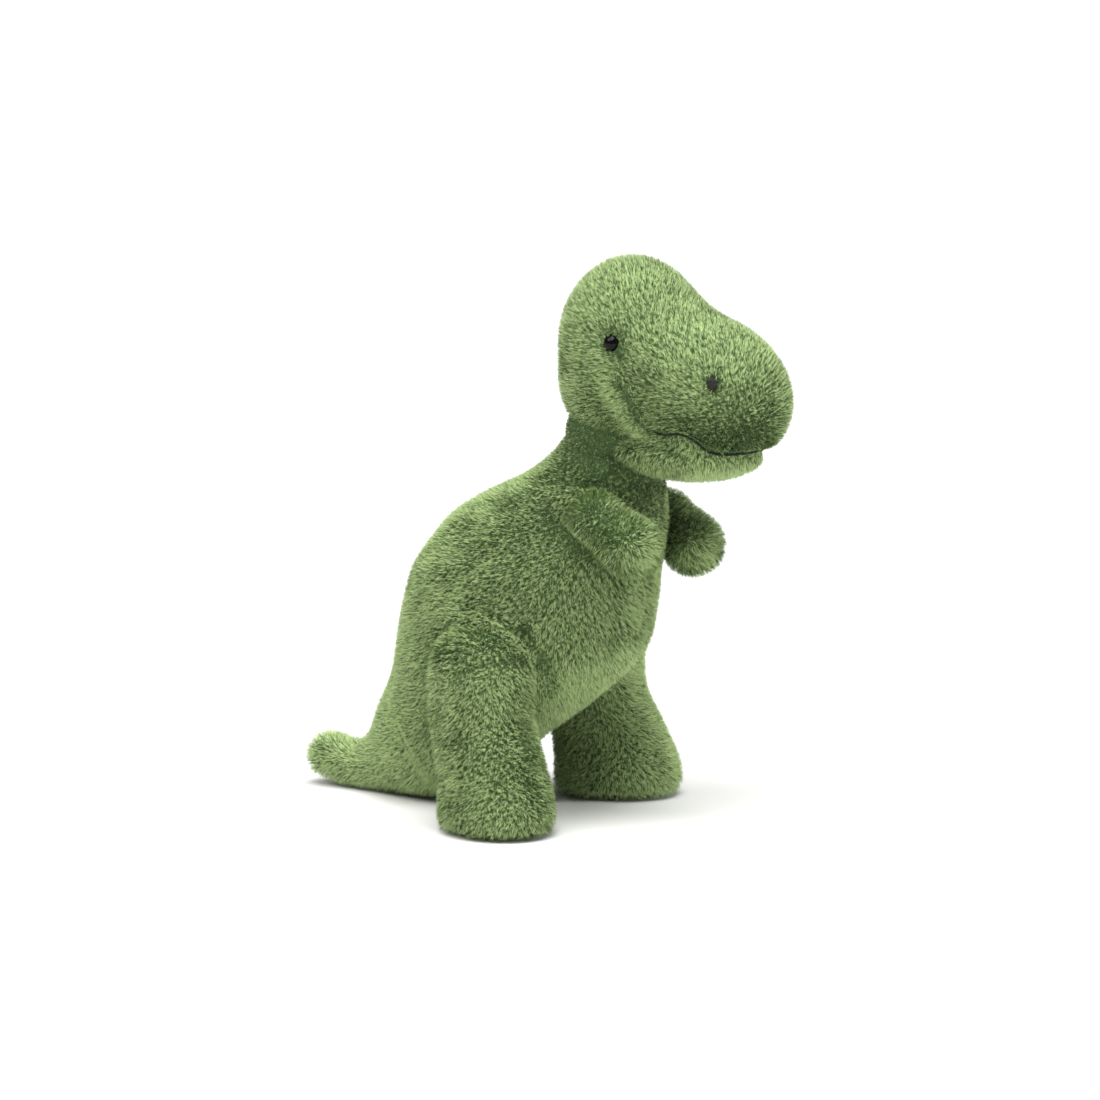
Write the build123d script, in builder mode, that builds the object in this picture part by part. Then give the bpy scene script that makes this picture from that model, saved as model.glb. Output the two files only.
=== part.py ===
from build123d import *
from math import asin, degrees
import os

os.makedirs("parts", exist_ok=True)

# A standing plush tyrannosaur, 280 mm tall. Millimetres, +Z up, snout towards -Y.
# The origin is on the floor, in the middle of the toy's length and width.
# side is -1 for the toy's right (-X) and +1 for its left (+X).

# ---- driving dimensions ----
PLUSH = 3.0                 # pile and backing together
ARM_PLUSH = 2.5
GAP = 0.4                   # slack between bodies at a soft joint
SIDES = {"right": -1, "left": 1}
FAR = 400.0                 # longer than the toy, for cutting blocks
UPWARD = (Align.CENTER, Align.CENTER, Align.MIN)
DOWNWARD = (Align.CENTER, Align.CENTER, Align.MAX)

# torso: height, centre y, half depth, half width
TORSO_RINGS = [
    (44.0, 34.0, 46.0, 33.0),
    (58.0, 25.0, 57.5, 44.0),
    (77.0, 12.0, 66.0, 51.0),
    (103.0, 6.0, 67.5, 52.0),
    (133.0, -8.0, 55.0, 43.0),
    (154.0, -24.5, 42.0, 34.0),
    (171.7, -35.5, 32.5, 28.0),
]
TORSO_BOTTOM = TORSO_RINGS[0][0]
TORSO_TOP = TORSO_RINGS[-1][0]

# neck and head
NECK_Y = -41.0
NECK_RADIUS = 27.0
NECK_BOTTOM = TORSO_TOP + GAP
NECK_TOP = 186.0
NOD_Z = 200.0               # height of the nodding axis
NOD_BALL = 22.0             # filling that bulges out of the head into the neck
NOD_DOWN = 10
NOD_UP = 15
NECK_SLACK = 1.5
CRANIUM_CENTER = (0, -47, 236)
CRANIUM_SEMI = (36, 32, 44)
SNOUT_CENTER = (0, -93, 218)
SNOUT_SEMI = (33, 47, 34)
JAW_CENTER = (0, -83, 190)
JAW_SEMI = (28, 44, 12)
GUSSET_WIDTH = 18.0
GUSSET_BOTTOM = 198.0
MOUTH_Z = 198.0
THREAD = 1.0

# safety eyes and embroidered nostrils
EYE_YZ = (-59.5, 239.0)
EYE_RADIUS = 4.4
EYE_HEIGHT = 3.2
EYE_SINK = 2.2              # how deep the dome's flat back lies in the pile
STEM_RADIUS = 1.25
STEM_LENGTH = 8.0
WASHER_RADIUS = 5.0
WASHER_DEPTH = 3.7
WASHER_THICKNESS = 1.4
NOSTRIL_YZ = (-113.7, 224.5)
NOSTRIL_SEMI = (3.0, 4.0)

# arms
SHOULDER = (30.5, -41.5, 157.0)
ARM_DIRECTION = (-0.04, -0.76, -0.648)
ARM_RADIUS = 14.0
ARM_LENGTH = 34.0           # shoulder centre to hand centre
HAND_RADIUS = 15.0
ARM_SWING = (-5, 0, 8, 16, 25)

# legs: height, centre x, centre y, half width, half length
HIP = (46.5, 0.0, 85.0)
HIP_RADIUS = 29.0
LEG_INNER_X = 31.0
LEG_SWING = (-15, -5, 5, 15, 25)
TOE_OUT = 20
SOLE_THICKNESS = 3.0
LEG_RINGS = [
    (0.0, 57.5, -6.0, 23.0, 29.0),
    (SOLE_THICKNESS, 57.5, -6.5, 24.0, 30.0),
    (16.0, 57.0, -7.0, 25.5, 31.5),
    (36.0, 55.0, -6.0, 25.5, 30.0),
    (58.0, 51.0, -3.0, 26.5, 28.0),
    (HIP[2], HIP[0], HIP[1], 28.0, 28.0),
]

# tail
TAIL_ROOT = (0.0, 70.0, 25.0)
TAIL_TIP = (0.0, 128.0, 12.0)
TAIL_WAG = (-20, -10, 0, 10, 20)
# y, centre z, radius of the tapering stretch
TAIL_RINGS = [
    (74.0, 24.0, 24.0),
    (86.0, 20.0, 20.0),
    (98.0, 15.5, 15.5),
    (110.0, 11.5, 11.5),
    (120.0, 11.0, 11.0),
]

# pellet bags: radius of each sealed inner bag
TORSO_BAG = ((0.0, 30.0, 74.0), 18.0)
LEG_BAG = ((57.0, -6.0, 24.0), 15.0)
TAIL_BAG = ((0.0, 72.0, 22.0), 13.0)

# blank care label, sewn into the centre back seam
LABEL_SIZE = (24.0, 0.8, 14.0)
LABEL_POINT = (12.6, 77.0, 90.0)
LABEL_ANGLE = -13


def mirrored(point, side):
    return (side * point[0], point[1], point[2])


def shrunk(semi, wall):
    return tuple(half - wall for half in semi)


def outward(side):
    """How a block is aligned that starts at a plane and runs away from the toy's middle."""
    return (Align.MIN if side > 0 else Align.MAX, Align.CENTER, Align.CENTER)


def keep(name, piece):
    piece.part.label = name
    export_step(piece.part, f"parts/{name}.step")


def ball(center, radius):
    with BuildPart() as body:
        with Locations(center):
            Sphere(radius)
    return body.part


def ellipsoid(center, semi):
    with BuildPart() as body:
        Sphere(semi[0])
        scale(by=(1, semi[1] / semi[0], semi[2] / semi[0]))
    return body.part.moved(Location(center))


def half_of(solid, plane, upper):
    """One side panel: the half of a hollow skin on one side of its seam plane."""
    with BuildPart() as panel:
        add(solid)
        split(bisect_by=plane, keep=Keep.TOP if upper else Keep.BOTTOM)
    return panel


# ---- torso ----
def torso_form(wall):
    with BuildPart() as form:
        for height, y, depth, width in TORSO_RINGS:
            raised = wall if height == TORSO_BOTTOM else 0
            with BuildSketch(Plane.XY.offset(height + raised)):
                with Locations((0, y)):
                    Ellipse(width - wall, depth - wall)
        loft()
    return form.part


def leg_room(side):
    """The room that a swinging leg needs beside the torso."""
    hip = mirrored(HIP, side)
    length = 130.0
    with BuildPart() as room:
        with Locations(hip):
            Sphere(HIP_RADIUS + GAP)
        for angle in LEG_SWING:
            with Locations(Location(hip, (-angle, 0, 0))):
                Box(FAR, 2 * HIP_RADIUS + 2 * GAP, length, align=DOWNWARD)
        with Locations((side * (LEG_INNER_X - GAP), 0, 0)):
            Box(FAR / 2, FAR, FAR * 2, align=outward(side), mode=Mode.INTERSECT)
    return room.part


def arm_solid(side, wall):
    """A blunt arm: shoulder ball, tapering sleeve and round hand, as one turned shape."""
    along = Plane(origin=mirrored(SHOULDER, side), z_dir=mirrored(ARM_DIRECTION, side))
    root = ARM_RADIUS - wall
    hand = HAND_RADIUS - wall
    with BuildPart() as arm:
        with BuildSketch(Plane.XZ):
            with BuildLine():
                Line((0, -root), (0, ARM_LENGTH + hand))
                CenterArc((0, ARM_LENGTH), hand, 0, 90)
                Line((hand, ARM_LENGTH), (root, 0))
                CenterArc((0, 0), root, 270, 90)
            make_face()
        revolve(axis=Axis.Z)
    return arm.part.moved(along.location)


def arm_room(side):
    """The room that a swinging arm needs beside the chest."""
    shoulder = Vector(*mirrored(SHOULDER, side))
    axis = Axis(shoulder, (1, 0, 0))
    with BuildPart() as room:
        for angle in ARM_SWING:
            add(arm_solid(side, -GAP - 0.1).rotate(axis, -angle))
    return room.part


def tail_room():
    """The room that a wagging tail needs under the rump."""
    axis = Axis(TAIL_ROOT, (0, 0, 1))
    with BuildPart() as room:
        for angle in TAIL_WAG:
            add(tail_form(-GAP - 0.1).rotate(axis, angle))
    return room.part


# ---- tail ----
def tail_form(wall):
    with BuildPart() as form:
        for y, height, radius in TAIL_RINGS:
            with BuildSketch(Plane(origin=(0, y, height), z_dir=(0, 1, 0))):
                Circle(radius - wall)
        loft()
        with Locations(TAIL_ROOT):
            Sphere(TAIL_ROOT[2] - wall)
        with Locations(TAIL_TIP):
            Sphere(TAIL_TIP[2] - wall)
    return form.part


def make_tail():
    filling_form = tail_form(PLUSH)
    with BuildPart() as skin:
        add(tail_form(0))
        add(filling_form, mode=Mode.SUBTRACT)
    with BuildPart() as filling:
        add(filling_form)
        add(ball(*TAIL_BAG), mode=Mode.SUBTRACT)
    with BuildPart() as bag:
        add(ball(*TAIL_BAG))
    keep("tail_left", half_of(skin.part, Plane.YZ, True))
    keep("tail_right", half_of(skin.part, Plane.YZ, False))
    keep("tail_filling", filling)
    keep("tail_pellet_bag", bag)


def make_torso():
    rooms = [leg_room(-1), leg_room(1), arm_room(-1), arm_room(1), tail_room()]
    with BuildPart() as outside:
        add(torso_form(0))
        for room in rooms:
            add(room, mode=Mode.SUBTRACT)
    with BuildPart() as inside:
        add(torso_form(PLUSH))
        for room in rooms:
            add(room, mode=Mode.SUBTRACT)
    with BuildPart() as skin:
        add(outside.part)
        add(inside.part, mode=Mode.SUBTRACT)
    with BuildPart() as filling:
        add(inside.part)
        add(ball(*TORSO_BAG), mode=Mode.SUBTRACT)
    with BuildPart() as bag:
        add(ball(*TORSO_BAG))
    keep("torso_left", half_of(skin.part, Plane.YZ, True))
    keep("torso_right", half_of(skin.part, Plane.YZ, False))
    keep("torso_filling", filling)
    keep("torso_pellet_bag", bag)


def make_label():
    with BuildPart() as label:
        with Locations(Location(LABEL_POINT, (0, 0, LABEL_ANGLE))):
            Box(*LABEL_SIZE)
    keep("care_label", label)


# ---- legs ----
def leg_form(side, wall):
    """The column and foot, closed at the hip by a ball and at the body by a flat inner face."""
    with BuildPart() as form:
        for height, x, y, width, length in LEG_RINGS[1:]:
            with BuildSketch(Plane.XY.offset(height)):
                with Locations((side * x, y)):
                    Ellipse(width - wall, length - wall, rotation=side * TOE_OUT)
        loft()
        with Locations(mirrored(HIP, side)):
            Sphere(HIP_RADIUS - wall)
        with Locations((side * (LEG_INNER_X + wall), 0, 0)):
            Box(FAR / 2, FAR, FAR, align=outward(side), mode=Mode.INTERSECT)
    return form.part


def make_sole(name, side):
    with BuildPart() as sole:
        for height, x, y, width, length in LEG_RINGS[:2]:
            with BuildSketch(Plane.XY.offset(height)):
                with Locations((side * x, y)):
                    Ellipse(width, length, rotation=side * TOE_OUT)
        loft()
    keep(name, sole)


def make_leg(word, side):
    filling_form = leg_form(side, PLUSH)
    foot_x = LEG_RINGS[0][1]
    lean = (side * (foot_x - HIP[0]), 0, -HIP[2])
    seam = Plane(origin=mirrored(HIP, side), x_dir=(0, 1, 0), z_dir=(HIP[2], 0, lean[0]))
    bag_center = mirrored(LEG_BAG[0], side)
    with BuildPart() as skin:
        add(leg_form(side, 0))
        add(filling_form, mode=Mode.SUBTRACT)
    with BuildPart() as filling:
        add(filling_form)
        add(ball(bag_center, LEG_BAG[1]), mode=Mode.SUBTRACT)
    with BuildPart() as bag:
        add(ball(bag_center, LEG_BAG[1]))
    keep(f"leg_{word}_outer", half_of(skin.part, seam, side > 0))
    keep(f"leg_{word}_inner", half_of(skin.part, seam, side < 0))
    keep(f"leg_{word}_filling", filling)
    keep(f"leg_{word}_pellet_bag", bag)
    make_sole(f"leg_{word}_sole", side)


# ---- arms ----
def make_arm(word, side):
    filling_form = arm_solid(side, ARM_PLUSH)
    seam = Plane(origin=mirrored(SHOULDER, side), z_dir=(1, 0, 0))
    with BuildPart() as skin:
        add(arm_solid(side, 0))
        add(filling_form, mode=Mode.SUBTRACT)
    with BuildPart() as filling:
        add(filling_form)
    keep(f"arm_{word}_outer", half_of(skin.part, seam, side > 0))
    keep(f"arm_{word}_inner", half_of(skin.part, seam, side < 0))
    keep(f"arm_{word}_filling", filling)


# ---- neck ----
def make_neck():
    height = NECK_TOP - NECK_BOTTOM
    cup = ball((0, NECK_Y, NOD_Z), NOD_BALL + GAP)
    with BuildPart() as sleeve:
        with Locations((0, NECK_Y, NECK_BOTTOM)):
            Cylinder(NECK_RADIUS, height, align=UPWARD)
            Cylinder(NECK_RADIUS - PLUSH, height, align=UPWARD, mode=Mode.SUBTRACT)
    with BuildPart() as filling:
        with Locations((0, NECK_Y, NECK_BOTTOM)):
            Cylinder(NECK_RADIUS - PLUSH, height, align=UPWARD)
        add(cup, mode=Mode.SUBTRACT)
    keep("neck_left", half_of(sleeve.part, Plane.YZ, True))
    keep("neck_right", half_of(sleeve.part, Plane.YZ, False))
    keep("neck_filling", filling)


# ---- head ----
def neck_room():
    """The room under the head that the neck sleeve needs while the head nods."""
    height = 60.0
    reach = NECK_TOP + NECK_SLACK - NOD_Z
    with BuildPart() as room:
        for angle in (-NOD_DOWN, 0, NOD_UP / 2, NOD_UP):
            with Locations(Location((0, NECK_Y, NOD_Z), (angle, 0, 0))):
                with Locations((0, 0, reach)):
                    Cylinder(NECK_RADIUS + NECK_SLACK, height, align=DOWNWARD)
    return room.part


def head_form(wall):
    with BuildPart() as form:
        add(ellipsoid(CRANIUM_CENTER, shrunk(CRANIUM_SEMI, wall)))
        add(ellipsoid(SNOUT_CENTER, shrunk(SNOUT_SEMI, wall)))
    return form.part


def surface_plane(side, center, semi, yz, depth=0.0):
    """A plane on an ellipsoid's surface at a given y and z, or some way under it."""
    y = (yz[0] - center[1]) / semi[1]
    z = (yz[1] - center[2]) / semi[2]
    x = (1 - y * y - z * z) ** 0.5
    normal = Vector(side * x / semi[0], y / semi[1], z / semi[2]).normalized()
    point = Vector(side * x * semi[0], yz[0], yz[1])
    return Plane(origin=point - normal * depth, x_dir=(0, -1, 0), z_dir=normal)


def eye_plane(side, depth):
    return surface_plane(side, CRANIUM_CENTER, CRANIUM_SEMI, EYE_YZ, depth)


def eye_passage(side):
    """The stem hole, and the dimple in the pile that the dome sits in."""
    with BuildPart(eye_plane(side, EYE_SINK)) as passage:
        Cylinder(EYE_RADIUS, EYE_SINK + EYE_HEIGHT, align=UPWARD)
        Cylinder(STEM_RADIUS, STEM_LENGTH, align=DOWNWARD)
    return passage.part


def washer_seat(side):
    with BuildPart(eye_plane(side, EYE_SINK + STEM_LENGTH + GAP)) as seat:
        Cylinder(WASHER_RADIUS + GAP, STEM_LENGTH, align=UPWARD)
    return seat.part


def make_eye(word, side):
    dome = (EYE_RADIUS**2 + EYE_HEIGHT**2) / (2 * EYE_HEIGHT)
    sunk = dome - EYE_HEIGHT
    start = degrees(asin(sunk / dome))
    with BuildPart() as eye:
        with BuildSketch(Plane.XZ):
            with BuildLine():
                Polyline(
                    (0, EYE_HEIGHT),
                    (0, -STEM_LENGTH),
                    (STEM_RADIUS, -STEM_LENGTH),
                    (STEM_RADIUS, 0),
                    (EYE_RADIUS, 0),
                )
                CenterArc((0, -sunk), dome, start, 90 - start)
            make_face()
        revolve(axis=Axis.Z)
    eye.part = eye.part.moved(eye_plane(side, EYE_SINK).location)
    with BuildPart(eye_plane(side, WASHER_DEPTH)) as washer:
        Cylinder(WASHER_RADIUS, WASHER_THICKNESS, align=DOWNWARD)
        Cylinder(STEM_RADIUS, WASHER_THICKNESS, align=DOWNWARD, mode=Mode.SUBTRACT)
    keep(f"eye_{word}", eye)
    keep(f"eye_washer_{word}", washer)


def make_nostril(word, side):
    with BuildPart() as nostril:
        with BuildSketch(surface_plane(side, SNOUT_CENTER, SNOUT_SEMI, NOSTRIL_YZ)):
            Ellipse(*NOSTRIL_SEMI)
        extrude(amount=THREAD)
    keep(f"nostril_{word}", nostril)


def make_mouth_thread():
    """The sewn mouth line: a thin band round the snout above the lower lip."""
    outer = tuple(half + THREAD for half in SNOUT_SEMI)
    with BuildPart() as band:
        add(ellipsoid(SNOUT_CENTER, outer))
        add(head_form(0), mode=Mode.SUBTRACT)
        with Locations((0, SNOUT_CENTER[1] - 25, MOUTH_Z)):
            Box(FAR, 50, THREAD, align=UPWARD, mode=Mode.INTERSECT)
    keep("mouth_thread", band)


def make_head():
    nod_ball = ball((0, NECK_Y, NOD_Z), NOD_BALL)
    room = neck_room()
    inside = head_form(PLUSH)
    with BuildPart() as skin:
        add(head_form(0))
        add(inside, mode=Mode.SUBTRACT)
        add(nod_ball, mode=Mode.SUBTRACT)
        add(room, mode=Mode.SUBTRACT)
        for side in SIDES.values():
            add(eye_passage(side), mode=Mode.SUBTRACT)
    with BuildPart() as filling:
        add(inside)
        add(room, mode=Mode.SUBTRACT)
        add(nod_ball)
        for side in SIDES.values():
            add(washer_seat(side), mode=Mode.SUBTRACT)
    with BuildPart() as gusset:
        add(skin.part)
        with Locations((0, 0, GUSSET_BOTTOM)):
            Box(GUSSET_WIDTH, FAR, FAR, align=UPWARD, mode=Mode.INTERSECT)
    gusset.part = Part(children=[gusset.part.solids().sort_by(SortBy.VOLUME)[-1]])
    with BuildPart() as cheeks:
        add(skin.part)
        add(gusset.part.solids(), mode=Mode.SUBTRACT)
    with BuildPart() as chin:
        add(ellipsoid(JAW_CENTER, JAW_SEMI))
        add(head_form(0), mode=Mode.SUBTRACT)
        add(nod_ball, mode=Mode.SUBTRACT)
        add(room, mode=Mode.SUBTRACT)
    keep("head_gusset", gusset)
    keep("head_left", half_of(cheeks.part, Plane.YZ, True))
    keep("head_right", half_of(cheeks.part, Plane.YZ, False))
    keep("chin_panel", chin)
    keep("head_filling", filling)


make_torso()
make_label()
make_tail()
make_neck()
make_head()
make_mouth_thread()
for word, side in SIDES.items():
    make_leg(word, side)
    make_arm(word, side)
    make_eye(word, side)
    make_nostril(word, side)
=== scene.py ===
import math

import bpy
import numpy as np
from mathutils import Matrix, Vector


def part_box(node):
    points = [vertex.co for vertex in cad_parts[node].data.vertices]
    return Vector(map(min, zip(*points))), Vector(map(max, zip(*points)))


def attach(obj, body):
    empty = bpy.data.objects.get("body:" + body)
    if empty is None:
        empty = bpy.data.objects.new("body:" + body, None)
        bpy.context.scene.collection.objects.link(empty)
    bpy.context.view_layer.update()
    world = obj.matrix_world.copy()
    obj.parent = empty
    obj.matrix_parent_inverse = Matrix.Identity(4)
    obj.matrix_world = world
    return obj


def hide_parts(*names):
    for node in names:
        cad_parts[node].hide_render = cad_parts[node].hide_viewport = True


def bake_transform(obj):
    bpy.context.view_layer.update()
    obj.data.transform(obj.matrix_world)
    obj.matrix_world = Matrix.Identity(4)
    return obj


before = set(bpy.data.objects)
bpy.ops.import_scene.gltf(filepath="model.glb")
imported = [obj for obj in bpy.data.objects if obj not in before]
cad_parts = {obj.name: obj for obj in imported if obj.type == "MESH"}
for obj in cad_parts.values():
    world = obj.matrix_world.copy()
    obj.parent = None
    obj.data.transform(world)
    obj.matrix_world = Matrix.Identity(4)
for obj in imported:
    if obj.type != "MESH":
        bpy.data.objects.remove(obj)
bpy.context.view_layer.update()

# The looks of a standing plush tyrannosaur. Shapes are worked out in millimetres in the CAD frame
# (+Z up, snout towards -Y, the toy's right side at -X) and become metres when a mesh is made.
# Each body is an implicit form: a function that is negative inside. The cloth lies PILE_DEPTH
# under that form, and the pile, made of single tapered strands, fills the rest.
MM = 0.001
PILE_DEPTH = 3.0


# ------------------------------------------------------------------ implicit forms
def smooth_min(a, b, k):
    h = np.clip(0.5 + 0.5 * (b - a) / k, 0.0, 1.0)
    return b * (1 - h) + a * h - k * h * (1 - h)


def smooth_max(a, b, k):
    return -smooth_min(-a, -b, k)


def ellipsoid(p, center, semi):
    q = (p - np.array(center)) / np.array(semi)
    near = np.linalg.norm(q, axis=1)
    far = np.linalg.norm(q / np.array(semi), axis=1)
    return near * (near - 1.0) / np.maximum(far, 1e-6)


def round_cone_chain(p, points, k):
    """A chain of tapered round rods through (x, y, z, radius) points, melted together."""
    best = None
    for a, b in zip(points[:-1], points[1:]):
        a, b = np.array(a, float), np.array(b, float)
        along = b[:3] - a[:3]
        t = np.clip(((p - a[:3]) @ along) / (along @ along), 0.0, 1.0)
        nearest = a[:3] + t[:, None] * along
        d = np.linalg.norm(p - nearest, axis=1) - (a[3] + t * (b[3] - a[3]))
        best = d if best is None else smooth_min(best, d, k)
    return best


def stack(p, rings, turn=0.0):
    """A column of elliptic sections. Rings are (z, x, y, half width, half depth), going up."""
    table = np.array(rings, float)
    z = p[:, 2]
    x0, y0, rx, ry = (smooth_table(z, table[:, 0], table[:, i]) for i in (1, 2, 3, 4))
    dx, dy = p[:, 0] - x0, p[:, 1] - y0
    c, s = math.cos(turn), math.sin(turn)
    u, v = c * dx + s * dy, -s * dx + c * dy
    near = np.sqrt((u / rx) ** 2 + (v / ry) ** 2)
    far = np.sqrt((u / rx**2) ** 2 + (v / ry**2) ** 2)
    return near * (near - 1.0) / np.maximum(far, 1e-6)


def smooth_table(z, knots, values):
    """A smooth curve through a table: a Catmull-Rom spline, level beyond its ends."""
    z = np.clip(z, knots[0], knots[-1])
    i = np.clip(np.searchsorted(knots, z, side="right") - 1, 0, len(knots) - 2)
    slopes = np.gradient(values, knots)
    h = knots[i + 1] - knots[i]
    t = (z - knots[i]) / h
    a = (2 * t**3 - 3 * t**2 + 1) * values[i] + (t**3 - 2 * t**2 + t) * h * slopes[i]
    b = (3 * t**2 - 2 * t**3) * values[i + 1] + (t**3 - t**2) * h * slopes[i + 1]
    return a + b


TORSO_RINGS = [
    (30.0, 0.0, 44.0, 32.0, 46.0),
    (44.0, 0.0, 37.0, 37.0, 50.0),
    (58.0, 0.0, 26.2, 43.0, 57.5),
    (77.0, 0.0, 14.0, 48.5, 66.5),
    (103.0, 0.0, 8.2, 50.5, 66.6),
    (120.0, 0.0, 3.8, 49.0, 65.2),
    (133.0, 0.0, -2.7, 44.5, 62.2),
    (145.0, 0.0, -9.5, 39.5, 57.8),
    (154.0, 0.0, -17.2, 35.0, 50.8),
    (167.0, 0.0, -30.0, 31.0, 37.5),
    (180.0, 0.0, -38.0, 26.5, 30.0),
    (200.0, 0.0, -42.5, 25.0, 25.5),
    (212.0, 0.0, -45.0, 22.0, 22.0),
]
TORSO_TOP = 206.0
TORSO_TOP_MELT = 6.0
# the belly is cut off below a slope between the legs: a spot on it and its direction, in Y and Z
BELLY_SPOT, BELLY_SLOPE, BELLY_MELT = (-32.6, 57.5), (-0.64, -0.77), 22.0
SEAT_HEIGHT, SEAT_MELT = 32.0, 14.0
NECK_FOOT = 172.0
# folds around the neck: height on its axis, rise towards the back, depth, width
NECK_AXIS_Y = -41.0
NECK_FOLD = (183.0, 0.25, 1.6, 2.6)
THROAT_FOLD, THROAT_BACK = (171.0, 0.15, 0.9, 3.0), -30
CENTRE_SEAM = (0.8, 1.6)
TAIL_MELT, TAIL_TO_TRUNK, TAIL_FLOOR_MELT = 5.0, 16.0, 2.0
TAIL_CHAIN = [
    (0.0, 46.0, 37.0, 34.0),
    (0.0, 64.0, 30.0, 30.0),
    (0.0, 80.0, 21.0, 21.0),
    (0.0, 92.0, 15.8, 15.8),
    (0.0, 103.0, 12.6, 12.2),
    (0.0, 115.0, 12.5, 11.0),
    (0.0, 126.0, 15.0, 12.0),
]
LEG_RINGS = [
    (0.0, 57.0, -7.3, 27.2, 32.5),
    (14.0, 56.5, -8.0, 27.2, 32.3),
    (32.0, 54.5, -3.8, 26.5, 29.6),
    (52.0, 51.0, 2.8, 26.0, 27.2),
    (85.0, 46.5, 4.5, 28.0, 29.0),
    (125.0, 40.0, 4.0, 28.0, 29.0),
]
HIP = (46.5, 0.0, 85.0)
TOE_OUT = math.radians(20)
LEG_TOP, LEG_TOP_MELT, SOLE_MELT = 106.0, 34.0, 5.0
# how far each foot is set back, by side: -1 is the toy's right
LEG_STANCE = {-1: -1.2, 1: 1.8}
SHOULDER = np.array((21.0, -30.0, 157.0))
ARM_CHAINS = {
    -1: [(*SHOULDER, 11.8), (30.5, -50.5, 153.0, 12.8), (32.0, -70.2, 142.0, 16.2)],
    1: [(20.0, -31.0, 153.5, 12.0), (31.5, -50.0, 146.5, 13.0), (31.0, -65.5, 134.0, 16.3)],
}
ARM_MELT = 6.0
HIP_CREASE = [
    (47.3, 28.8, 97.7), (53.9, 15.7, 99.8), (56.9, 4.7, 100.9),
    (54.1, -5.8, 100.4), (48.5, -13.4, 97.7), (45.2, -17.5, 96.8),
]
LEG_FOLD = [
    (72.9, 7.1, 78.2), (70.4, -4.3, 81.1), (66.7, -10.5, 82.7),
    (61.0, -16.6, 83.0), (52.9, -21.3, 81.7), (40.2, -22.9, 79.4),
]
GROIN_CREASE = [
    (45.2, -17.5, 96.8), (42.8, -22.1, 88.6), (39.8, -25.1, 81.2),
    (34.7, -25.6, 73.0), (28.4, -22.3, 65.0),
]
# creases pressed into the cloth where a leg meets the belly, on the toy's left: depth, width, line
LEG_CREASES = [
    (2.2, 2.6, np.array(HIP_CREASE)),
    (3.8, 2.8, np.array(LEG_FOLD)),
    (3.8, 3.0, np.array(GROIN_CREASE)),
]
LEG_SEAM = np.array([
    (56.0, -22.5, 84.0), (55.5, -22.4, 75.0), (55.0, -22.8, 62.0), (55.5, -25.0, 50.0),
    (59.5, -30.0, 37.0), (64.0, -34.0, 20.0), (66.0, -36.0, 8.0),
])
LEG_SEAM_CUT = (0.8, 1.5)
SOLE_SEAM_HEIGHT, SOLE_SEAM_CUT = 6.0, (0.8, 1.3)
CRANIUM = ((0, -51.0, 234.8), (36, 37.0, 43.0))
SNOUT = ((0, -91.6, 215.8), (34, 46.6, 36.4))
SNOUT_DROOP = math.radians(19)
JAW = ((0, -81, 186.0), (28, 42.5, 15.8))
NAPE = ((0, -44.0, 213.0), (29.5, 29.0, 27.0))
SNOUT_MELT, NAPE_MELT, JAW_MELT = 19.0, 10.0, 4.0
# the groove of the mouth: its depth, what the corner adds to that, and its width
MOUTH_DEPTH, CORNER_DEPTH, MOUTH_WIDTH = 2.6, 1.6, 2.4
EYE_DIMPLE, NOSTRIL_DIMPLE = (1.2, 5.5), (0.8, 5.0)
# the tail's cloth takes over from the torso's between these two spots, with a small overlap
RUMP_CUT = (np.array((0.0, 62.0, 40.0)), np.array((0.0, 90.0, 26.0)))
RUMP_SPAN, TORSO_PAST, TAIL_BEFORE, CUT_MELT = 31.0, 0.06, -0.04, 0.5
MOUTH_LINE = [
    (32.1, -62.3, 217.6),
    (28.7, -66.1, 209.0),
    (24.8, -67.6, 200.2),
    (22.5, -74.1, 196.2),
    (23.8, -82.9, 195.0),
    (25.5, -93.8, 196.1),
    (23.6, -100.5, 192.6),
    (20.8, -106.6, 188.1),
    (16.3, -113.7, 186.7),
    (8.5, -120.6, 186.9),
    (0.0, -123.0, 187.2),
]
EYE = np.array((34.8, -60.3, 239.0))
NOSTRIL = np.array((28.4, -113.0, 223.8))


def mirror_x(p, side):
    q = p.copy()
    q[:, 0] *= side
    return q


def smooth_line(points, steps):
    """A Catmull-Rom curve through the points, cut in equal steps along each stretch."""
    points = np.array(points, float)
    ends = np.concatenate((2 * points[:1] - points[1:2], points, 2 * points[-1:] - points[-2:-1]))
    t = np.linspace(0, 1, steps, endpoint=False)[:, None]
    parts = []
    for a, b, c, d in zip(ends, ends[1:], ends[2:], ends[3:]):
        square, cube = 2 * a - 5 * b + 4 * c - d, 3 * b - a - 3 * c + d
        parts.append(0.5 * (2 * b + (c - a) * t + square * t**2 + cube * t**3))
    return np.concatenate(parts + [points[-1:]])


MOUTH = smooth_line(MOUTH_LINE, 6)


def folded(p):
    """Points brought to the positive side of the toy's middle plane."""
    q = p.copy()
    q[:, 0] = np.abs(q[:, 0])
    return q


def line_distance(p, line):
    """Distance from each point to a polyline, and the nearest point on it."""
    best = np.full(len(p), 1e9)
    nearest = np.zeros_like(p)
    for a, b in zip(line[:-1], line[1:]):
        along = b - a
        t = np.clip(((p - a) @ along) / (along @ along), 0, 1)
        q = a + t[:, None] * along
        d = np.linalg.norm(p - q, axis=1)
        closer = d < best
        best[closer] = d[closer]
        nearest[closer] = q[closer]
    return best, nearest


def at_corner(nearest):
    """1 at the corner of the mouth, 0 along the lip."""
    return np.clip((nearest[:, 1] + 78.0) / 8.0, 0, 1)


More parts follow.
